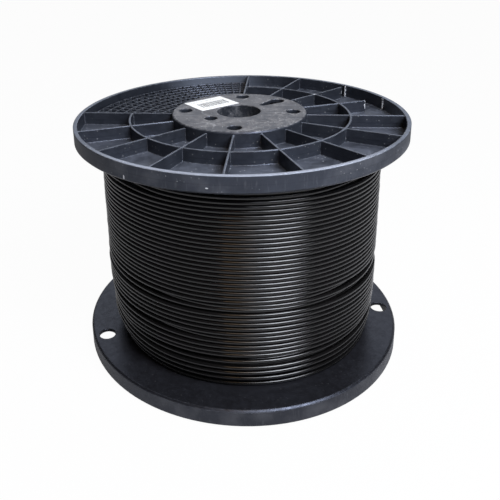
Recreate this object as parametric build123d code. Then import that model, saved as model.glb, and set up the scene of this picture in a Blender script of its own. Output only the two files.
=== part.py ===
"""A full plastic reel of jacketed wire, standing on its lower flange.

Lengths are in millimetres. Z is up, the floor is Z = 0, the reel's axis is the Z axis and the photo looks along +Y.
"""

import os
from math import cos, radians, sin

from build123d import *

# the whole reel
overall_height = 302.0
flange_diameter = 406.4

# a flange: a flat web with a turned-up rim and a raised hub cup
rim_height = 20.0
rim_thickness = 4.8
rim_back_bevel = 2.2
web_thickness = 4.0
hub_diameter = 166.0
hub_wall = 3.5
hub_plate_thickness = 5.0
hub_rise = 3.4
hub_bevel = 1.8
bore_diameter = 54.0
bore_tube_wall = 4.5

# the radial ribs and the ring rib that ties them, a little lower than the rim
rib_count = 16
rib_first_angle = -3.75
rib_thickness = 2.3
rib_drop = 0.4
ring_rib_radius = 135.0
ring_rib_thickness = 2.5

# the quarter that carries a fine grid between two ribs, well below the rim's edge
grid_first_step = 4
grid_last_step = 8
grid_cells_per_step = 6
grid_row_count = 9
grid_rib_thickness = 1.5
grid_drop = 9.8
grid_margin = 3.0

# the holes in the hub plate
hub_hole_diameter = 17.5
hub_hole_circle_diameter = 133.0
hub_hole_count = 4
drive_hole_diameter = 16.0
drive_hole_radius = 44.0
drive_hole_step = 10

# the tapering slot that the wire's first end comes out of
slot_angle = 42.5
slot_inner_radius = 40.5
slot_inner_round = 4.2
slot_outer_radius = 65.8
slot_outer_round = 9.4

# the two hand holes through the web, each in the middle of a pocket beside the rim
hand_hole_diameter = 21.0
hand_hole_inset = 12.4
hand_hole_half_steps = (3, 17)

# ribs of the upper flange that are broken beside the rim
break_stub = 1.8
long_break = 24.6
short_break = 7.6
broken_ribs = ((1, break_stub, long_break), (2, break_stub, short_break))

# the lower flange is the same moulding turned over about a level line at this angle
turn_over_angle = 15.0

# the barrel between the flanges
barrel_wall = 3.2
barrel_clearance = 0.2

# the wound wire: drawn in at its foot, and parted where a turn has sunk between its neighbours
winding_radius = 172.0
winding_foot_draw = 8.5
winding_foot_height = 24.0
winding_clearance = 0.2
parting_height_shares = (0.166, 0.416)
parting_depth = 3.2
parting_width = 5.8

# the paper label on the upper hub plate
label_width = 56.5
label_depth = 43.0
label_thickness = 0.3
label_turn = 36.7
label_along = -7.25
label_across = 49.5

overrun = 1.0

flange_radius = flange_diameter / 2
rim_inner_radius = flange_radius - rim_thickness
hub_radius = hub_diameter / 2
hub_inner_radius = hub_radius - hub_wall
bore_radius = bore_diameter / 2
bore_tube_radius = bore_radius + bore_tube_wall
flange_depth = rim_height + hub_rise
hub_ceiling = flange_depth - hub_plate_thickness
barrel_radius = hub_inner_radius - barrel_clearance
rib_step = 360.0 / rib_count
grid_outer_radius = rim_inner_radius - grid_margin


def turned(points):
    """A body turned about the axis from the corners of its half section, each a radius and a height."""
    outline = Polyline(*[(radius, 0, height) for radius, height in points], close=True)
    return revolve(make_face(outline), Axis.Z)


def polar(radius, angle):
    """The place at a radius and an angle about the axis."""
    return Pos(radius * cos(radians(angle)), radius * sin(radians(angle)), 0)


def rib_angle(step):
    """The angle of a radial rib, also of one between two ribs."""
    return rib_first_angle + step * rib_step


def bar(step, inner, outer, width):
    """The plan of a straight bar that runs out along a rib's angle."""
    return Rot(0, 0, rib_angle(step)) * Pos((inner + outer) / 2, 0) * Rectangle(outer - inner, width)


def band(radius, width):
    """The plan of a round band about the axis."""
    return Circle(radius + width / 2) - Circle(radius - width / 2)


def grid_quarter():
    """The plan of the quarter between the two ribs that carry the grid, out past the rim."""
    reach = 2 * flange_radius
    first = rib_angle(grid_first_step)
    last = rib_angle(grid_last_step)
    ends = [(reach * cos(radians(angle)), reach * sin(radians(angle))) for angle in (first, (first + last) / 2, last)]
    return make_face(Polyline((0, 0), *ends, close=True))


def raised(plan, top):
    """Ribs from their plan: rooted in the web and rising to a height."""
    root = web_thickness / 2
    return Pos(0, 0, root) * extrude(plan, top - root)


def dish():
    """The web, the rim and the hub cup in one turned body."""
    return turned([
        (bore_radius, 0),
        (bore_tube_radius, 0),
        (bore_tube_radius, hub_ceiling),
        (hub_inner_radius, hub_ceiling),
        (hub_inner_radius, 0),
        (flange_radius - rim_back_bevel, 0),
        (flange_radius, rim_back_bevel),
        (flange_radius, rim_height),
        (rim_inner_radius, rim_height),
        (rim_inner_radius, web_thickness),
        (hub_radius, web_thickness),
        (hub_radius, flange_depth - hub_bevel),
        (hub_radius - hub_bevel, flange_depth),
        (bore_radius, flange_depth),
    ])


def main_ribs():
    """The radial ribs and the ring rib, which leave out the gridded quarter."""
    inner = hub_radius - hub_wall / 2
    outer = rim_inner_radius + rim_thickness / 2
    steps = [step for step in range(rib_count) if not grid_first_step < step < grid_last_step]
    plan = band(ring_rib_radius, ring_rib_thickness) - grid_quarter()
    plan += [bar(step, inner, outer, rib_thickness) for step in steps]
    return raised(plan, rim_height - rib_drop)


def grid_band(radius):
    """The plan of one band of the grid, which runs straight from bar to bar."""
    sides = rib_count * grid_cells_per_step
    outer = RegularPolygon(radius + grid_rib_thickness / 2, sides)
    inner = RegularPolygon(radius - grid_rib_thickness / 2, sides)
    return (Rot(0, 0, rib_first_angle) * (outer - inner)) & grid_quarter()


def grid_fan():
    """The grid's fine bars, which fan out from the hub to its outer band."""
    inner = hub_radius - hub_wall / 2
    cells = (grid_last_step - grid_first_step) * grid_cells_per_step
    steps = [grid_first_step + cell / grid_cells_per_step for cell in range(1, cells)]
    plan = grid_band(grid_outer_radius)
    plan += [bar(step, inner, grid_outer_radius, grid_rib_thickness) for step in steps]
    return raised(plan, rim_height - grid_drop)


def grid_rows():
    """The bands that cross the fan, evenly spaced from its outer band to the hub."""
    pitch = (grid_outer_radius - hub_radius) / grid_row_count
    plan = Sketch() + [grid_band(grid_outer_radius - row * pitch) for row in range(1, grid_row_count)]
    return raised(plan, rim_height - grid_drop)


def hub_cuts():
    """What is cut through the hub plate besides the bore."""
    plan = Sketch()
    for number in range(hub_hole_count):
        angle = rib_first_angle + number * 360.0 / hub_hole_count
        plan += polar(hub_hole_circle_diameter / 2, angle) * Circle(hub_hole_diameter / 2)
    plan += polar(drive_hole_radius, rib_angle(drive_hole_step)) * Circle(drive_hole_diameter / 2)
    narrow_end = Pos(slot_inner_radius, 0) * Circle(slot_inner_round)
    wide_end = Pos(slot_outer_radius, 0) * Circle(slot_outer_round)
    plan += Rot(0, 0, slot_angle) * make_hull((narrow_end + wide_end).edges())
    return Pos(0, 0, hub_ceiling - overrun) * extrude(plan, hub_plate_thickness + 2 * overrun)


def hand_holes():
    """The two round holes through the web."""
    plan = Sketch()
    for half_steps in hand_hole_half_steps:
        plan += polar(rim_inner_radius - hand_hole_inset, rib_angle(half_steps / 2)) * Circle(hand_hole_diameter / 2)
    return Pos(0, 0, -overrun) * extrude(plan, web_thickness + 2 * overrun)


def moulding():
    """One flange with its outer face up and the face that the wire lies against at zero."""
    body = dish() + main_ribs() + grid_fan()
    return body - hub_cuts() - hand_holes()


def breaks():
    """What has broken out of the upper flange's ribs."""
    plan = Sketch()
    for step, inset, length in broken_ribs:
        outer = rim_inner_radius - inset
        plan += bar(step, outer - length, outer, 2 * rib_thickness)
    return Pos(0, 0, web_thickness) * extrude(plan, flange_depth)


def upper_flange():
    """The moulding on top of the reel, with its whole grid and its broken ribs."""
    return Pos(0, 0, overall_height - flange_depth) * (moulding() + grid_rows() - breaks())


def lower_flange():
    """The same moulding turned over, standing on its hub plate, its hidden grid left as the fan alone."""
    half_turn = Rot(0, 0, turn_over_angle) * Rot(180, 0, 0) * Rot(0, 0, -turn_over_angle)
    return Pos(0, 0, flange_depth) * half_turn * moulding()


def barrel():
    """The tube whose ends stand inside the two hub cups."""
    low = hub_plate_thickness
    high = overall_height - hub_plate_thickness
    inner = barrel_radius - barrel_wall
    return turned([(inner, low), (barrel_radius, low), (barrel_radius, high), (inner, high)])


def winding():
    """All the wire on the reel as one turned body with its bore, its drawn-in foot and its partings."""
    low = flange_depth + winding_clearance
    high = overall_height - low
    inner = barrel_radius + winding_clearance
    points = [(inner, low), (winding_radius - winding_foot_draw, low), (winding_radius, low + winding_foot_height)]
    for share in parting_height_shares:
        middle = low + share * (high - low)
        points.append((winding_radius, middle - parting_width / 2))
        points.append((winding_radius - parting_depth, middle))
        points.append((winding_radius, middle + parting_width / 2))
    points += [(winding_radius, high), (inner, high)]
    return turned(points)


def label():
    """The paper label that lies on the upper hub plate between two holes and the bore."""
    paper = extrude(Pos(label_along, label_across) * Rectangle(label_width, label_depth), label_thickness)
    return Pos(0, 0, overall_height) * Rot(0, 0, label_turn) * paper


pieces = {
    "top_flange": upper_flange(),
    "bottom_flange": lower_flange(),
    "barrel": barrel(),
    "wire_winding": winding(),
    "label": label(),
}
os.makedirs("parts", exist_ok=True)
for name, piece in pieces.items():
    export_step(piece, os.path.join("parts", name + ".step"))
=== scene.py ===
from math import cos, radians, sin
from types import SimpleNamespace

import bpy
import numpy as np
from mathutils import Matrix


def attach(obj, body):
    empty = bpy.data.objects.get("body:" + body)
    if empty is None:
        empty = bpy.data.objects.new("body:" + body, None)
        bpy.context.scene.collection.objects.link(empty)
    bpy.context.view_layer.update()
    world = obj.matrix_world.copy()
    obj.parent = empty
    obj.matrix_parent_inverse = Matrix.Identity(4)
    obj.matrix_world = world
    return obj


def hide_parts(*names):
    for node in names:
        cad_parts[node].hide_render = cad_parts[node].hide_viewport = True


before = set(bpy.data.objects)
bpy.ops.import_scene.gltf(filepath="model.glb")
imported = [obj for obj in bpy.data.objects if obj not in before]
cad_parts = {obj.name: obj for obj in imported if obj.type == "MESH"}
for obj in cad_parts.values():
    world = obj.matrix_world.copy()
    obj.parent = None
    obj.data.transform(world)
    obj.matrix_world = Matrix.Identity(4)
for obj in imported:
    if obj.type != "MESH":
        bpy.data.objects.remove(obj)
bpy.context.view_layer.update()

MM = 0.001

# the flanges' own sizes, in millimetres, as the part's source states them
HUB_TOP = 302.0
RIM_TOP = 298.6
GRID_TOP = 288.8
RIM_RADIUS = 203.2
RIM_WALL_RADIUS = 198.4
ARBOR_RADIUS = 27.0

# the wire and the heights of its turns, in millimetres: two turns have sunk, and one lies between two partings
WIRE = 5.36
WINDING_RADIUS = 172.0
WINDING_BORE = 79.5
LOW_FACE = 23.7
HIGH_FACE = 278.3
UPPER_TOP, UPPER_PITCH, UPPER_TURNS = 271.8, 5.345, 26
SUNK_TURNS = (132.4, 127.3)
LOWER_TOP, LOWER_PITCH, LOWER_TURNS = 121.7, 5.83, 10
PARTED_TURN = 60.6
FOOT_TURNS = (53.0, 46.0, 36.8, 26.6)
END_TUCK = 12.0
STEPS_PER_TURN = 120
SIDES = 11

# the foot, in millimetres: where it starts, where it is drawn in most, and how far
FOOT_TOP = 50.0
FOOT_LOW = 25.0
FOOT_DRAW = 9.0

# the layers beneath: how deep they lie, and how much deeper behind turns that have slipped in, at which heights
LAYER_DEPTH = 4.6
LAYER_COLUMNS = 72
DEEP_PLACES = (64.5, 91.5, 130.0)
DEEP_DROP = 5.0
DEEP_REACH = 4.0
# the side whose drawn-in foot they follow all the way round, in degrees
LAYER_FOOT_SIDE = -110.0

# turns by number, counted from the top
LAST_UPPER = UPPER_TURNS - 1
FIRST_LOWER = UPPER_TURNS + len(SUNK_TURNS)
PARTED = FIRST_LOWER + LOWER_TURNS

# sides of the reel: the middle and the half width of each, in degrees about the axis
RIGHT = (-30, 24)
LEFT = (-144, 33)
LOWER_LEFT = (-146, 38)
FRONT_LEFT = (-130, 40)
FRONT = (-100, 45)

# turns that have slipped in between their neighbours, over a reach in turns
# each: the turn, how far in all round, how far more at one side, in millimetres, and that side
SLIP_REACH = 0.5
SLIPPED_IN = (
    (LAST_UPPER, 0.0, 6.5, RIGHT),
    (LAST_UPPER + 1, 0.9, 6.5, LEFT),
    (LAST_UPPER + 2, 1.3, 5.5, RIGHT),
    (FIRST_LOWER + 5, 0.0, 7.0, LOWER_LEFT),
    (PARTED, 1.6, 0.9, FRONT),
)

# turns that stand off from their neighbours
# each: the turn, its reach in turns, how far up in millimetres, and at which side
STOOD_OFF = (
    (LAST_UPPER, 0.5, -1.0, LEFT),
    (LAST_UPPER + 2, 0.5, 0.8, FRONT_LEFT),
    (FIRST_LOWER, 0.5, -0.8, FRONT_LEFT),
    (FIRST_LOWER + 4, 0.6, -1.3, LOWER_LEFT),
    (FIRST_LOWER + 6, 0.6, 1.3, LOWER_LEFT),
    (PARTED - 1, 0.5, 1.0, FRONT),
    (PARTED, 0.5, -0.9, FRONT),
)

# the wedges under the rim, where the topmost turns lie deeper
# each: down to which turn, how deep in millimetres, and at which side
WEDGES = (
    (4.2, 5.0, (-138, 14)),
    (3.2, 4.0, (-42, 14)),
)

# where the upper flange has turned white or is chipped: x, y, height, width and length up and down, in millimetres
STRESS_MARKS = (
    (162.9, 55.3, 291.0, 3.2, 16.0),
    (186.4, 63.3, 290.0, 3.6, 18.0),
    (142.1, 124.6, 291.0, 2.6, 15.0),
    (148.0, 129.8, 290.0, 3.0, 16.0),
    (101.5, 89.0, 298.2, 3.4, 3.4),
    (-115.4, -167.3, 283.0, 2.2, 4.5),
    (-29.0, -201.1, 285.2, 3.4, 1.6),
    (-178.0, -60.4, 290.0, 1.6, 16.0),
)

# the middle of the painted highlight on the rim's inner wall behind the grid, in metres
WALL_SHEEN_MIDDLE = (-0.040, 0.198, 0.294)

# the label's place on the hub plate, as the part's source states it
LABEL_TURN = 36.7
LABEL_ALONG = -7.25
LABEL_ACROSS = 49.5

# each block of print on it: its middle along and across, its width and depth, its bars' spacing and its grey
PRINT_BLOCKS = (
    (1.0, -2.0, 41.0, 17.0, 2.0, "#2b2d2d"),
    (-2.0, 14.5, 40.0, 1.6, 3.5, "#a9acab"),
    (-6.0, -15.5, 30.0, 1.6, 3.5, "#b3b6b5"),
)

# the room, in metres: half the floor's width, the way to the white backdrop, and the height that the lamps aim at
FLOOR_REACH = 5.0
BACKDROP_SIDE = (-0.09, 0.996, 0)
LAMP_AIM = 0.2

# each lamp: its angle about the axis, its distance and height, its width and depth, its power and its colour
LAMPS = {
    "front_right_window": (-56, 1.3, 1.36, 1.3, 0.95, 23.0, "#f1f5ff"),
    "front_right_window_middle": (-52, 1.3, 1.36, 0.7, 0.95, 36.0, "#f1f5ff"),
    "front_warm_softbox": (-88, 1.1, 1.56, 0.6, 0.6, 3.8, "#ffd3a0"),
    "ceiling_softbox": (90, 0.5, 1.9, 1.6, 1.6, 4.0, "#ffffff"),
}

# the camera, in degrees and metres: its way round the reel, distance and height, and its turn, tip and roll
CAMERA_ROUND = 0.7
CAMERA_DISTANCE = 0.7638
CAMERA_HEIGHT = 0.5296
CAMERA_TURN = 4.5
CAMERA_DOWN = 19.254
CAMERA_ROLL = -2.063


def linear(code):
    """An sRGB hex colour as linear red, green, blue and alpha."""
    parts = np.array([int(code[i:i + 2], 16) for i in (1, 3, 5)]) / 255
    parts = np.where(parts <= 0.04045, parts / 12.92, ((parts + 0.055) / 1.055) ** 2.4)
    return (*parts.tolist(), 1.0)


def add(tree, kind, links=(), **settings):
    """One node: settings go to its properties, links give each input a value or another node's output."""
    made = tree.nodes.new(kind)
    for name, value in settings.items():
        setattr(made, name, value)
    for name, value in dict(links).items():
        if isinstance(value, bpy.types.Node):
            value = value.outputs[0]
        if isinstance(value, bpy.types.NodeSocket):
            tree.links.new(value, made.inputs[name])
        else:
            made.inputs[name].default_value = value
    return made


def blank(name):
    """A material with an empty node tree."""
    made = bpy.data.materials.new(name)
    made.use_nodes = True
    made.node_tree.nodes.clear()
    return made, made.node_tree


def grid_faces(rows, columns, loop_rows, loop_columns):
    """The quads of a grid of points, where rows or columns that loop join their last to their first."""
    index = np.arange(rows * columns).reshape(rows, columns)
    if loop_rows:
        index = np.vstack([index, index[:1]])
    if loop_columns:
        index = np.hstack([index, index[:, :1]])
    return np.stack([index[:-1, :-1], index[:-1, 1:], index[1:, 1:], index[1:, :-1]], -1).reshape(-1, 4)


def ramp(value, start, end):
    """A share that grows evenly from nothing at the start to one at the end."""
    return np.clip((value - start) / (end - start), 0, 1)


def bell(value, middle, width, power=2):
    """One at the middle, falling off on both sides as a bell, whose top is flatter at a higher power."""
    return np.exp(-np.abs((value - middle) / width) ** power)


def near(angle, middle, width, power=2):
    """A bell over angles in degrees."""
    return bell((angle - middle + 180) % 360 - 180, 0, width, power)


def foot_draw(height, angle):
    """How far the foot's turns are drawn in: a power of the depth under the foot's top, less on the right side."""
    share = 1 - 0.5 * near(angle, -35, 45)
    return FOOT_DRAW * share * ramp(height, FOOT_TOP, FOOT_LOW) ** 1.3


def outer_turns():
    """The outer layer: one wire that follows a helix, a circle carried along it.

    Along the wire the angle grows steadily and the height is read between the turns' own heights. Bells over the
    angle sink some turns and part others, and sines with phases of their own give each turn a slight wander.
    """
    heights = np.concatenate([
        UPPER_TOP - UPPER_PITCH * np.arange(UPPER_TURNS),
        SUNK_TURNS,
        LOWER_TOP - LOWER_PITCH * np.arange(LOWER_TURNS),
        [PARTED_TURN],
        FOOT_TURNS,
    ])
    count = len(heights)
    number = np.arange(count)
    turn = np.linspace(-0.5, count - 0.5, count * STEPS_PER_TURN + 1)
    angle = -90 + 360 * turn
    rise = np.interp(turn, number, heights)
    wander = np.random.default_rng(7).uniform(0, 2 * np.pi, (3, count))
    wave = [np.interp(turn, number, np.unwrap(row)) for row in wander]
    rise = rise + 0.10 * np.sin(np.radians(2 * angle) + wave[0]) + 0.07 * np.sin(np.radians(5 * angle) + wave[1])
    sink = 0.15 + 0.18 * np.sin(np.radians(3 * angle) + wave[2])

    # the upper turns climb a little at the front left, and all but the foot's dip at the right
    climb = 1.1 * ramp(rise, 130, 150) * near(angle, -130, 30)
    dip = 5.6 * ramp(rise, 58, 100) * near(angle, -18, 42)
    rise = rise + climb - dip

    # the foot's turns climb toward both sides
    drawn_in = foot_draw(rise, angle)
    in_foot = ramp(rise, 64, 58) * bell(rise, 56, 40)
    rise = rise + in_foot * (9.0 * near(angle, -172, 36, 3) + 5.0 * near(angle, -8, 31, 3))

    for which, all_round, more, side in SLIPPED_IN:
        sink = sink + bell(turn, which, SLIP_REACH) * (all_round + more * near(angle, *side))
    for which, reach, up, side in STOOD_OFF:
        rise = rise + up * bell(turn, which, reach) * near(angle, *side)
    for down_to, depth, side in WEDGES:
        sink = sink + depth * ramp(turn, down_to, down_to - 1) * near(angle, *side)

    # the winding's outline: drawn in at the lower left, fuller at the right and halfway up on the left
    sink = sink + 2.8 * ramp(rise, 92, 78) * near(angle, -178, 26)
    sink = sink - 1.1 * ramp(rise, 60, 90) * near(angle, -12, 30)
    sink = sink - bell(rise, 127, 12) * near(angle, -170, 18)

    # both ends of the wire are tucked in over their last twentieth of a turn
    from_end = np.minimum(turn - turn[0], turn[-1] - turn)
    sink = sink + drawn_in + END_TUCK * ramp(from_end, 0.05, 0) ** 2

    half = WIRE / 2
    middle = WINDING_RADIUS - half - sink
    around = np.linspace(0, 2 * np.pi, SIDES, endpoint=False)
    radius = middle[:, None] + half * np.cos(around)
    level = np.clip(rise[:, None] + half * np.sin(around), LOW_FACE, HIGH_FACE)
    turned = np.radians(angle)[:, None]
    return np.stack([radius * np.cos(turned), radius * np.sin(turned), level], -1) * MM


def inner_turns():
    """The layers beneath: a closed section turned about the axis, scalloped by half circles a wire apart.

    The half circles stand on the outer side, where they show between the turns, and on both ends, as the layers
    of a coil do.
    """
    half = WIRE / 2
    # points across a half circle, as shares of its radius, and how far each lies below its crown
    scallop = np.array([-0.97, -0.6, 0.0, 0.6, 0.97])
    bulge = half * (np.sqrt(1 - scallop ** 2) - 1)

    edge = WINDING_RADIUS - LAYER_DEPTH
    rows = np.arange(HIGH_FACE - half - 1, LOW_FACE + half, -WIRE)
    side_height = (rows[:, None] - half * scallop).ravel()
    deep = DEEP_DROP * sum(bell(rows, place, DEEP_REACH) for place in DEEP_PLACES)
    side_radius = (edge - (foot_draw(rows, LAYER_FOOT_SIDE) + deep)[:, None] + bulge).ravel()

    rings = np.arange(WINDING_BORE + half, edge - half, WIRE)
    top_radius = (rings[:, None] + half * scallop).ravel()
    top_height = np.broadcast_to(HIGH_FACE + bulge, (len(rings), len(scallop))).ravel()
    low_rings = rings[rings < edge - foot_draw(np.array(LOW_FACE), LAYER_FOOT_SIDE) - half]
    low_radius = (low_rings[::-1, None] - half * scallop).ravel()
    low_height = np.broadcast_to(LOW_FACE - bulge, (len(low_rings), len(scallop))).ravel()

    radius = np.concatenate([[WINDING_BORE], top_radius, side_radius, low_radius, [WINDING_BORE]])
    height = np.concatenate([[HIGH_FACE - half], top_height, side_height, low_height, [LOW_FACE + half]])
    turned = np.linspace(0, 2 * np.pi, LAYER_COLUMNS, endpoint=False)[:, None]
    return np.stack([radius * np.cos(turned), radius * np.sin(turned), height + 0 * turned], -1) * MM


def wound_wire(material):
    """The wound wire as one piece: the helix with its two ends closed, and the layers beneath it."""
    helix = outer_turns()
    inner = inner_turns()
    helix_quads = grid_faces(*helix.shape[:2], False, True)[:, ::-1]
    inner_quads = grid_faces(*inner.shape[:2], True, True) + helix.shape[0] * SIDES
    points = np.vstack([helix.reshape(-1, 3), inner.reshape(-1, 3)])
    last = helix.shape[0] * SIDES - 1
    caps = [list(range(SIDES)), list(range(last, last - SIDES, -1))]
    mesh = bpy.data.meshes.new("wound_wire")
    mesh.from_pydata(points, [], helix_quads.tolist() + inner_quads.tolist() + caps)
    mesh.polygons.foreach_set("use_smooth", np.ones(len(mesh.polygons), dtype=bool))
    mesh.materials.append(material)
    mesh.update()
    made = bpy.data.objects.new("wound_wire", mesh)
    bpy.context.collection.objects.link(made)
    return made


def pvc_jacket():
    """Extruded black PVC: a smooth satin skin that draws long thin highlights along each turn."""
    made, tree = blank("pvc_jacket")
    place = add(tree, "ShaderNodeTexCoord").outputs["Object"]
    # patches that run along the turns, 33 mm long and 5 mm high, duller where the wire has been handled
    along = add(tree, "ShaderNodeMapping", {"Vector": place, "Scale": (30, 30, 190)})
    patch = add(tree, "ShaderNodeTexNoise", {"Vector": along, "Scale": 1.0, "Detail": 2.0})
    blacks = {0: patch, 6: linear("#070707"), 7: linear("#0e0d0d")}
    tone = add(tree, "ShaderNodeMix", blacks, data_type="RGBA").outputs[2]
    gloss = add(tree, "ShaderNodeMapRange", {0: patch, 1: 0.3, 2: 0.7, 3: 0.11, 4: 0.19})
    grain = add(tree, "ShaderNodeTexNoise", {"Vector": place, "Scale": 1 / (2.2 * MM), "Detail": 3.0})
    relief = add(tree, "ShaderNodeBump", {"Height": grain, "Strength": 0.10, "Distance": 0.1 * MM})
    skin = add(tree, "ShaderNodeBsdfPrincipled", {
        "Base Color": tone, "Roughness": gloss, "IOR": 1.43, "Normal": relief})
    add(tree, "ShaderNodeOutputMaterial", {0: skin})
    return made


def moulded_surface(tree):
    """What the finishes of a moulding share: where a point lies, how it faces, and the patterns of its dirt."""
    coordinates = add(tree, "ShaderNodeTexCoord")
    place = coordinates.outputs["Object"]
    facing = add(tree, "ShaderNodeSeparateXYZ", {0: coordinates.outputs["Normal"]}).outputs
    height = add(tree, "ShaderNodeSeparateXYZ", {0: place}).outputs[2]
    level = add(tree, "ShaderNodeVectorMath", {0: place, 1: (1, 1, 0)}, operation="MULTIPLY")
    radius = add(tree, "ShaderNodeVectorMath", {0: level}, operation="LENGTH").outputs["Value"]
    upward = add(tree, "ShaderNodeMapRange", {0: facing[2], 1: 0.7, 2: 0.98})
    plate = add(tree, "ShaderNodeMapRange", {0: height, 1: (HUB_TOP - 1.4) * MM, 2: (HUB_TOP - 0.4) * MM})
    outer = add(tree, "ShaderNodeMapRange", {0: radius, 1: (RIM_RADIUS - 0.8) * MM, 2: (RIM_RADIUS - 0.2) * MM})

    # a fine film, more uneven on the hub plate, and the broad patches where it has been wiped
    film = add(tree, "ShaderNodeTexNoise", {
        "Vector": place, "Scale": 1 / (7 * MM), "Detail": 8.0, "Roughness": 0.78})
    thin = add(tree, "ShaderNodeMapRange", {0: plate, 3: 0.75, 4: 0.3})
    thick = add(tree, "ShaderNodeMapRange", {0: plate, 3: 1.2, 4: 1.5})
    uneven = add(tree, "ShaderNodeMapRange", {0: film, 1: 0.44, 2: 0.56, 3: thin, 4: thick})
    wiping = add(tree, "ShaderNodeTexNoise", {"Vector": place, "Scale": 1 / (30 * MM), "Detail": 3.0})
    return SimpleNamespace(
        place=place, facing=facing, height=height, radius=radius, upward=upward, plate=plate, outer=outer,
        film=film, uneven=uneven, wiping=wiping)


def settled_dust(tree, at, haze, plate_dust):
    """The share of a thin haze of dust that settles on what faces up, thick and wiped in patches on the hub plate."""
    wiped = add(tree, "ShaderNodeMapRange", {0: at.wiping, 1: 0.36, 2: 0.6, 3: 0.5, 4: 1.15})
    settled = add(tree, "ShaderNodeMapRange", {0: at.upward, 3: 0.18 * haze, 4: haze})
    # the fine grid, whose tops hold less of it
    fine = add(tree, "ShaderNodeMath", {0: at.height, 1: GRID_TOP * MM, 2: 0.6 * MM}, operation="COMPARE")
    kept = add(tree, "ShaderNodeMapRange", {0: fine, 3: 1.0, 4: 0.4})
    settled = add(tree, "ShaderNodeMath", {0: settled, 1: kept}, operation="MULTIPLY")
    dust = add(tree, "ShaderNodeMix", {0: at.plate, 2: settled, 3: plate_dust})
    dust = add(tree, "ShaderNodeMath", {0: dust, 1: at.uneven}, operation="MULTIPLY")
    return add(tree, "ShaderNodeMath", {0: dust, 1: wiped}, operation="MULTIPLY", use_clamp=True)


def painted_wall_sheen(tree, at):
    """The share of a painted highlight on the rim's inner wall behind the grid, where the front right window's sheen
    falls.
    """
    away = add(tree, "ShaderNodeVectorMath", {0: at.place, 1: WALL_SHEEN_MIDDLE}, operation="DISTANCE").outputs["Value"]
    wall_sheen = add(tree, "ShaderNodeMapRange", {
        0: away, 1: 95 * MM, 2: 15 * MM, 3: 0.0, 4: 0.20}, interpolation_type="SMOOTHSTEP")
    inward = add(tree, "ShaderNodeMapRange", {0: at.facing[1], 1: -0.4, 2: -0.8})
    wall_sheen = add(tree, "ShaderNodeMath", {0: wall_sheen, 1: inward}, operation="MULTIPLY")
    wall = add(tree, "ShaderNodeMapRange", {
        0: at.radius, 1: (RIM_WALL_RADIUS - 2.4) * MM, 2: (RIM_WALL_RADIUS - 0.9) * MM})
    return add(tree, "ShaderNodeMath", {0: wall_sheen, 1: wall}, operation="MULTIPLY")


def rubbed_marks(tree, at):
    """The share of what is rubbed pale: streaks and scratches on the plate, smudges on the rim, smears in the bore."""
    # streaks rubbed across the plate
    across = add(tree, "ShaderNodeMapping", {
        "Vector": at.place,
        "Rotation": (0, 0, radians(28)),
        "Scale": (1 / (60 * MM), 1 / (2.5 * MM), 1 / (60 * MM))})
    streak = add(tree, "ShaderNodeTexNoise", {"Vector": across, "Scale": 1.0, "Detail": 4.0})
    rubbed = add(tree, "ShaderNodeMapRange", {0: streak, 1: 0.56, 2: 0.74, 3: 0.0, 4: 0.42})
    rubbed = add(tree, "ShaderNodeMath", {0: rubbed, 1: at.plate}, operation="MULTIPLY")
    # hair scratches on it, drawn half a millimetre wide so that they show
    swirl = add(tree, "ShaderNodeTexNoise", {"Vector": at.place, "Scale": 1 / (70 * MM), "Detail": 0.0})
    line = add(tree, "ShaderNodeMath", {0: swirl, 1: 0.5, 2: 0.004}, operation="COMPARE")
    hair = add(tree, "ShaderNodeMapRange", {0: at.film, 1: 0.48, 2: 0.55, 3: 0.0, 4: 0.4})
    hair = add(tree, "ShaderNodeMath", {0: hair, 1: line}, operation="MULTIPLY")
    hair = add(tree, "ShaderNodeMath", {0: hair, 1: at.plate}, operation="MULTIPLY")
    # pale smudges and short upright scratches round the rim's outer side
    smudge = add(tree, "ShaderNodeMapRange", {0: at.wiping, 1: 0.5, 2: 0.7, 3: 0.0, 4: 0.06})
    upright = add(tree, "ShaderNodeMapping", {
        "Vector": at.place, "Scale": (1 / (2 * MM), 1 / (2 * MM), 1 / (14 * MM))})
    nick = add(tree, "ShaderNodeTexNoise", {"Vector": upright, "Scale": 1.0, "Detail": 4.0})
    nick = add(tree, "ShaderNodeMapRange", {0: nick, 1: 0.58, 2: 0.8, 3: 0.0, 4: 0.09})
    handled = add(tree, "ShaderNodeMath", {0: smudge, 1: nick}, operation="MAXIMUM")
    handled = add(tree, "ShaderNodeMath", {0: handled, 1: at.outer}, operation="MULTIPLY")
    # pale grey smears all round the bore's inner wall
    bore = add(tree, "ShaderNodeMapRange", {
        0: at.radius, 1: (ARBOR_RADIUS + 0.6) * MM, 2: (ARBOR_RADIUS + 0.2) * MM})
    smear = add(tree, "ShaderNodeMapRange", {0: at.film, 1: 0.46, 2: 0.62, 3: 0.01, 4: 0.18})
    smear = add(tree, "ShaderNodeMath", {0: smear, 1: bore}, operation="MULTIPLY")

    pale = rubbed
    for mark in (hair, handled, smear):
        pale = add(tree, "ShaderNodeMath", {0: pale, 1: mark}, operation="MAXIMUM")
    return pale


def worn_tops(tree, at):
    """The share of wear on the tops of the rim and the ribs, rubbed pale where the reel has slid on them."""
    above = add(tree, "ShaderNodeMapRange", {
        0: at.height, 1: (RIM_TOP - 0.7) * MM, 2: (RIM_TOP - 0.1) * MM, 3: 0.0, 4: 0.28})
    below = add(tree, "ShaderNodeMapRange", {
        0: at.height, 1: (RIM_TOP + 0.2) * MM, 2: (RIM_TOP + 0.6) * MM, 3: 1.0, 4: 0.0})
    tops = add(tree, "ShaderNodeMath", {0: above, 1: below}, operation="MULTIPLY")
    tops = add(tree, "ShaderNodeMath", {0: tops, 1: at.upward}, operation="MULTIPLY")
    return add(tree, "ShaderNodeMath", {0: tops, 1: at.uneven}, operation="MULTIPLY", use_clamp=True)


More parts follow.
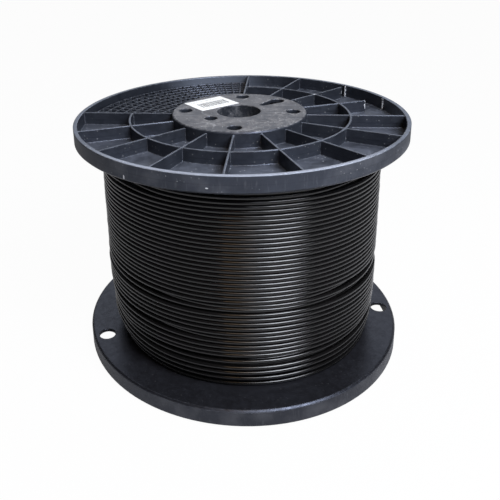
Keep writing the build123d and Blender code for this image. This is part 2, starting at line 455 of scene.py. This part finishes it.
def painted_front_highlight(tree, at):
    """The share of a painted highlight along the front of the rim's top, strongest at the front and fading to the
    sides.
    """
    front = add(tree, "ShaderNodeVectorMath", {0: at.place, 1: (0, -1, 0)}, operation="DOT_PRODUCT").outputs["Value"]
    rim_highlight = add(tree, "ShaderNodeMapRange", {
        0: front, 1: 105 * MM, 2: 185 * MM, 3: 0.0, 4: 0.78}, interpolation_type="SMOOTHSTEP")
    on_rim = add(tree, "ShaderNodeMapRange", {
        0: at.radius, 1: (RIM_WALL_RADIUS - 0.4) * MM, 2: (RIM_WALL_RADIUS + 0.4) * MM})
    raised = add(tree, "ShaderNodeMapRange", {0: at.height, 1: (RIM_TOP - 1.0) * MM, 2: (RIM_TOP - 0.4) * MM})
    rim_highlight = add(tree, "ShaderNodeMath", {0: rim_highlight, 1: on_rim}, operation="MULTIPLY")
    return add(tree, "ShaderNodeMath", {0: rim_highlight, 1: raised}, operation="MULTIPLY")


def grit(tree, at, haze):
    """The share of grit: pale specks a little under a millimetre wide, close together here and sparse there."""
    cell = add(tree, "ShaderNodeTexVoronoi", {"Vector": at.place, "Scale": 1 / (3.6 * MM)})
    dot = add(tree, "ShaderNodeMapRange", {0: cell.outputs["Distance"], 1: 0.22, 2: 0.12})
    pick = add(tree, "ShaderNodeSeparateColor", {0: cell.outputs["Color"]})
    sparse = add(tree, "ShaderNodeMapRange", {0: at.wiping, 1: 0.4, 2: 0.65, 3: 0.9, 4: 0.5})
    sparse = add(tree, "ShaderNodeMath", {0: at.plate, 1: -0.22, 2: sparse}, operation="MULTIPLY_ADD")
    some = add(tree, "ShaderNodeMath", {0: pick, 1: sparse}, operation="GREATER_THAN")
    speck = add(tree, "ShaderNodeMath", {0: dot, 1: some}, operation="MULTIPLY")
    strength = add(tree, "ShaderNodeMath", {0: pick.outputs[1], 1: min(5 * haze, 0.8)}, operation="MULTIPLY")
    lying = add(tree, "ShaderNodeMapRange", {0: at.upward, 3: 0.35, 4: 1.0})
    strength = add(tree, "ShaderNodeMath", {0: strength, 1: lying}, operation="MULTIPLY")
    return add(tree, "ShaderNodeMath", {0: speck, 1: strength}, operation="MULTIPLY")


def whitened(tree, at, mark, ragged):
    """The share of one mark where the plastic has turned white: a ball stretched up and down, with a ragged edge."""
    x, y, z, width, length = mark
    gap = add(tree, "ShaderNodeVectorMath", {0: at.place, 1: (x * MM, y * MM, z * MM)}, operation="SUBTRACT")
    gap = add(tree, "ShaderNodeVectorMath", {0: gap, 1: (1, 1, width / length)}, operation="MULTIPLY")
    gap = add(tree, "ShaderNodeVectorMath", {0: gap}, operation="LENGTH").outputs["Value"]
    torn = add(tree, "ShaderNodeMath", {0: ragged, 1: width * MM, 2: gap}, operation="MULTIPLY_ADD")
    return add(tree, "ShaderNodeMapRange", {0: torn, 1: 1.05 * width * MM, 2: 0.85 * width * MM})


def moulded_polyethylene(name, blacks, haze, plate_dust, marks=()):
    """Moulded black polyethylene: an uneven black with a soft bluish sheen, under dust, wear and grit, and with
    painted highlights on the rim's inner wall behind the grid and along the front of the rim's top.

    It turns white where it has been struck or broken.
    """
    made, tree = blank(name)
    at = moulded_surface(tree)

    # edges: the moulding's small rounding, chafed a little paler
    rounded = add(tree, "ShaderNodeBevel", {"Radius": 2.2 * MM}, samples=8)
    flat = add(tree, "ShaderNodeNewGeometry").outputs["Normal"]
    bend = add(tree, "ShaderNodeVectorMath", {0: rounded, 1: flat}, operation="DOT_PRODUCT").outputs["Value"]
    edge = add(tree, "ShaderNodeMapRange", {0: bend, 1: 0.97, 2: 0.80})
    chafed = add(tree, "ShaderNodeMapRange", {0: at.film, 1: 0.4, 2: 0.6, 3: 0.02, 4: 0.26})
    chafed = add(tree, "ShaderNodeMath", {0: edge, 1: chafed}, operation="MULTIPLY")

    # the uneven black, and the powder that is bluish in the pockets and brownish on the hub plate
    mottle = add(tree, "ShaderNodeTexNoise", {
        "Vector": at.place, "Scale": 1 / (45 * MM), "Detail": 5.0, "Roughness": 0.65})
    shades = {0: mottle, 6: linear(blacks[0]), 7: linear(blacks[1])}
    tone = add(tree, "ShaderNodeMix", shades, data_type="RGBA").outputs[2]
    powders = {0: at.plate, 6: linear("#868d9b"), 7: linear("#8b8a89")}
    powder = add(tree, "ShaderNodeMix", powders, data_type="RGBA").outputs[2]

    # what lies on the black, from the lowest layer up
    dust = settled_dust(tree, at, haze, plate_dust)
    ragged = add(tree, "ShaderNodeTexNoise", {"Vector": at.place, "Scale": 1 / (2.5 * MM), "Detail": 2.0})
    layers = [
        (dust, powder),
        # painted highlight: the window's sheen on the rim's inner wall behind the grid
        (painted_wall_sheen(tree, at), linear("#a2adbf")),
        (rubbed_marks(tree, at), linear("#a8a9ab")),
        (worn_tops(tree, at), linear("#7f8793")),
        # painted highlight: the pale line along the front of the rim's top
        (painted_front_highlight(tree, at), linear("#959ba6")),
        (chafed, linear("#8f949c")),
        (grit(tree, at, haze), linear("#cfd1d3")),
    ]
    layers += [(whitened(tree, at, mark, ragged), linear("#b9bcc0")) for mark in marks]
    for share, colour in layers:
        tone = add(tree, "ShaderNodeMix", {0: share, 6: tone, 7: colour}, data_type="RGBA").outputs[2]

    # edges are rubbed smooth, dust is matt and the rim's outer side is scuffed
    gloss = add(tree, "ShaderNodeMapRange", {0: at.film, 1: 0.42, 2: 0.58, 3: 0.28, 4: 0.44})
    matt = add(tree, "ShaderNodeMapRange", {0: dust, 1: 0.1, 2: 0.45})
    for share, roughness in ((edge, 0.2), (matt, 0.62), (at.outer, 0.52)):
        gloss = add(tree, "ShaderNodeMix", {0: share, 2: gloss, 3: roughness})
    grain = add(tree, "ShaderNodeTexNoise", {"Vector": at.place, "Scale": 1 / (1.2 * MM), "Detail": 3.0})
    relief = add(tree, "ShaderNodeBump", {
        "Height": grain, "Strength": 0.12, "Distance": 0.12 * MM, "Normal": rounded})
    skin = add(tree, "ShaderNodeBsdfPrincipled", {
        "Base Color": tone,
        "Roughness": gloss,
        "IOR": 1.5,
        "Specular Tint": linear("#dce6ff"),
        "Normal": relief})
    add(tree, "ShaderNodeOutputMaterial", {0: skin})
    return made


def coated_paper():
    """Coated label paper: bright white with a block of plain grey bars and two grey rows."""
    made, tree = blank("coated_paper")
    place = add(tree, "ShaderNodeTexCoord").outputs["Object"]
    own = add(tree, "ShaderNodeMapping", {
        "Vector": place,
        "Rotation": (0, 0, radians(-LABEL_TURN)),
        "Location": (-LABEL_ALONG * MM, -LABEL_ACROSS * MM, 0)})
    run = add(tree, "ShaderNodeSeparateXYZ", {0: own})
    fibre = add(tree, "ShaderNodeTexNoise", {"Vector": place, "Scale": 1 / (6 * MM), "Detail": 4.0})
    whites = {0: fibre, 6: linear("#ebedea"), 7: linear("#f3f4f1")}
    tone = add(tree, "ShaderNodeMix", whites, data_type="RGBA").outputs[2]
    for along, across, width, depth, spacing, grey in PRINT_BLOCKS:
        gap = add(tree, "ShaderNodeVectorMath", {0: own, 1: (along * MM, across * MM, 0)}, operation="SUBTRACT")
        gap = add(tree, "ShaderNodeVectorMath", {0: gap}, operation="ABSOLUTE")
        part = add(tree, "ShaderNodeSeparateXYZ", {0: gap})
        within = add(tree, "ShaderNodeMath", {0: part.outputs[0], 1: width / 2 * MM}, operation="LESS_THAN")
        inside = add(tree, "ShaderNodeMath", {0: part.outputs[1], 1: depth / 2 * MM}, operation="LESS_THAN")
        block = add(tree, "ShaderNodeMath", {0: within, 1: inside}, operation="MULTIPLY")
        bars = add(tree, "ShaderNodeTexNoise", {
            "W": run, "Scale": 2 / (spacing * MM), "Detail": 0.0}, noise_dimensions="1D")
        bar = add(tree, "ShaderNodeMapRange", {0: bars, 1: 0.46, 2: 0.54})
        ink = add(tree, "ShaderNodeMath", {0: block, 1: bar}, operation="MULTIPLY")
        tone = add(tree, "ShaderNodeMix", {0: ink, 6: tone, 7: linear(grey)}, data_type="RGBA").outputs[2]
    skin = add(tree, "ShaderNodeBsdfPrincipled", {"Base Color": tone, "Roughness": 0.45})
    add(tree, "ShaderNodeOutputMaterial", {0: skin})
    return made


def floor_paper():
    """Matt pale paper, white to the eye and part of the way to white where it is mirrored.

    The reel's own shade still darkens the part that stays paper.
    """
    made, tree = blank("floor_paper")
    ray = add(tree, "ShaderNodeLightPath").outputs
    seen = add(tree, "ShaderNodeMath", {0: ray["Is Camera Ray"], 1: ray["Is Transmission Ray"]}, operation="MAXIMUM")
    share = add(tree, "ShaderNodeMath", {0: seen, 1: 0.97}, operation="MULTIPLY")
    mirrored = add(tree, "ShaderNodeMath", {0: ray["Is Glossy Ray"], 1: 0.25}, operation="MULTIPLY")
    share = add(tree, "ShaderNodeMath", {0: share, 1: mirrored}, operation="MAXIMUM")
    matt = add(tree, "ShaderNodeBsdfDiffuse", {"Color": linear("#cacaca")})
    glow = add(tree, "ShaderNodeEmission", {"Color": linear("#ffffff"), "Strength": 1.0})
    both = add(tree, "ShaderNodeMixShader", {0: share, 1: matt, 2: glow})
    add(tree, "ShaderNodeOutputMaterial", {0: both})
    return made


def pale_floor():
    """One wide square that the reel stands on."""
    mesh = bpy.data.meshes.new("floor")
    corners = [(x * FLOOR_REACH, y * FLOOR_REACH, 0) for x, y in ((-1, -1), (1, -1), (1, 1), (-1, 1))]
    mesh.from_pydata(corners, [], [(0, 1, 2, 3)])
    mesh.materials.append(floor_paper())
    floor = bpy.data.objects.new("floor", mesh)
    bpy.context.collection.objects.link(floor)


def white_room():
    """The room around: a white backdrop behind the reel, dim on the other sides and low down."""
    world = bpy.data.worlds.new("white_room")
    bpy.context.scene.world = world
    world.use_nodes = True
    tree = world.node_tree
    tree.nodes.clear()
    ray = add(tree, "ShaderNodeLightPath").outputs
    toward = add(tree, "ShaderNodeTexCoord").outputs["Generated"]
    level = add(tree, "ShaderNodeVectorMath", {0: toward, 1: (1, 1, 0)}, operation="MULTIPLY")
    level = add(tree, "ShaderNodeVectorMath", {0: level}, operation="NORMALIZE")
    side = add(tree, "ShaderNodeVectorMath", {0: level, 1: BACKDROP_SIDE}, operation="DOT_PRODUCT").outputs["Value"]
    room = add(tree, "ShaderNodeMapRange", {
        0: side, 1: 0.76, 2: 0.96, 3: 0.06, 4: 1.0}, interpolation_type="SMOOTHSTEP")
    above = add(tree, "ShaderNodeSeparateXYZ", {0: toward}).outputs[2]
    lift = add(tree, "ShaderNodeMapRange", {
        0: above, 1: 0.08, 2: 0.42, 3: 0.15, 4: 1.0}, interpolation_type="SMOOTHSTEP")
    room = add(tree, "ShaderNodeMath", {0: room, 1: lift}, operation="MULTIPLY")
    # full strength where it is mirrored, half where it only lights, and plain white to the eye
    mirrored = add(tree, "ShaderNodeMapRange", {0: ray["Is Glossy Ray"], 3: 0.5, 4: 1.0})
    room = add(tree, "ShaderNodeMath", {0: room, 1: mirrored}, operation="MULTIPLY")
    seen = add(tree, "ShaderNodeMath", {0: ray["Is Camera Ray"], 1: ray["Is Transmission Ray"]}, operation="MAXIMUM")
    strength = add(tree, "ShaderNodeMix", {0: seen, 2: room, 3: 1.0})
    whites = {0: seen, 6: linear("#eef3ff"), 7: linear("#ffffff")}
    tint = add(tree, "ShaderNodeMix", whites, data_type="RGBA").outputs[2]
    glow = add(tree, "ShaderNodeBackground", {"Color": tint, "Strength": strength})
    add(tree, "ShaderNodeOutputWorld", {0: glow})


def lamps():
    """A cool window at the front right, brighter in its middle, a small warm softbox in front and a faint ceiling."""
    for name, (angle, distance, height, width, depth, power, colour) in LAMPS.items():
        light = bpy.data.lights.new(name, "AREA")
        light.shape = "RECTANGLE"
        light.size = width
        light.size_y = depth
        light.energy = power
        light.color = linear(colour)[:3]
        lamp = bpy.data.objects.new(name, light)
        lamp.location = (distance * cos(radians(angle)), distance * sin(radians(angle)), height)
        tilt = np.arctan2(distance, height - LAMP_AIM)
        lamp.rotation_euler = (tilt, 0, radians(angle + 90))
        bpy.context.collection.objects.link(lamp)


def camera():
    """The photo's place to stand: a short lens above the reel's top, aimed left of the reel and down, a little askew.

    The photo is a cropped part of a wider frame, so the lens is shifted by as much.
    """
    lens = bpy.data.cameras.new("camera")
    lens.lens = 46.205
    lens.sensor_width = 36.0
    lens.shift_x = 0.1172
    lens.shift_y = -0.2161
    made = bpy.data.objects.new("camera", lens)
    stand = Matrix.Rotation(radians(CAMERA_ROUND), 4, "Z") @ Matrix.Translation((0, -CAMERA_DISTANCE, CAMERA_HEIGHT))
    aim = Matrix.Rotation(radians(CAMERA_TURN), 4, "Z") @ Matrix.Rotation(radians(90 - CAMERA_DOWN), 4, "X")
    made.matrix_world = stand @ aim @ Matrix.Rotation(radians(CAMERA_ROLL), 4, "Z")
    bpy.context.collection.objects.link(made)
    bpy.context.scene.camera = made


wire = wound_wire(pvc_jacket())
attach(wire, "root")
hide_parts("wire_winding")

finishes = {
    "top_flange": moulded_polyethylene(
        "moulded_polyethylene_dusty", ("#111317", "#1e2127"), haze=0.21, plate_dust=0.41, marks=STRESS_MARKS),
    # the lower flange is the same moulding as the upper, and its darker blacks are painted shade
    "bottom_flange": moulded_polyethylene(
        "moulded_polyethylene", ("#0e0e10", "#19191c"), haze=0.01, plate_dust=0.01),
    "barrel": moulded_polyethylene(
        "extruded_polyethylene", ("#0b0b0d", "#141518"), haze=0.0, plate_dust=0.0),
    "label": coated_paper(),
}
for node, material in finishes.items():
    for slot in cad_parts[node].material_slots:
        slot.material = material

pale_floor()
white_room()
lamps()
camera()
bpy.context.scene.view_settings.view_transform = "Standard"
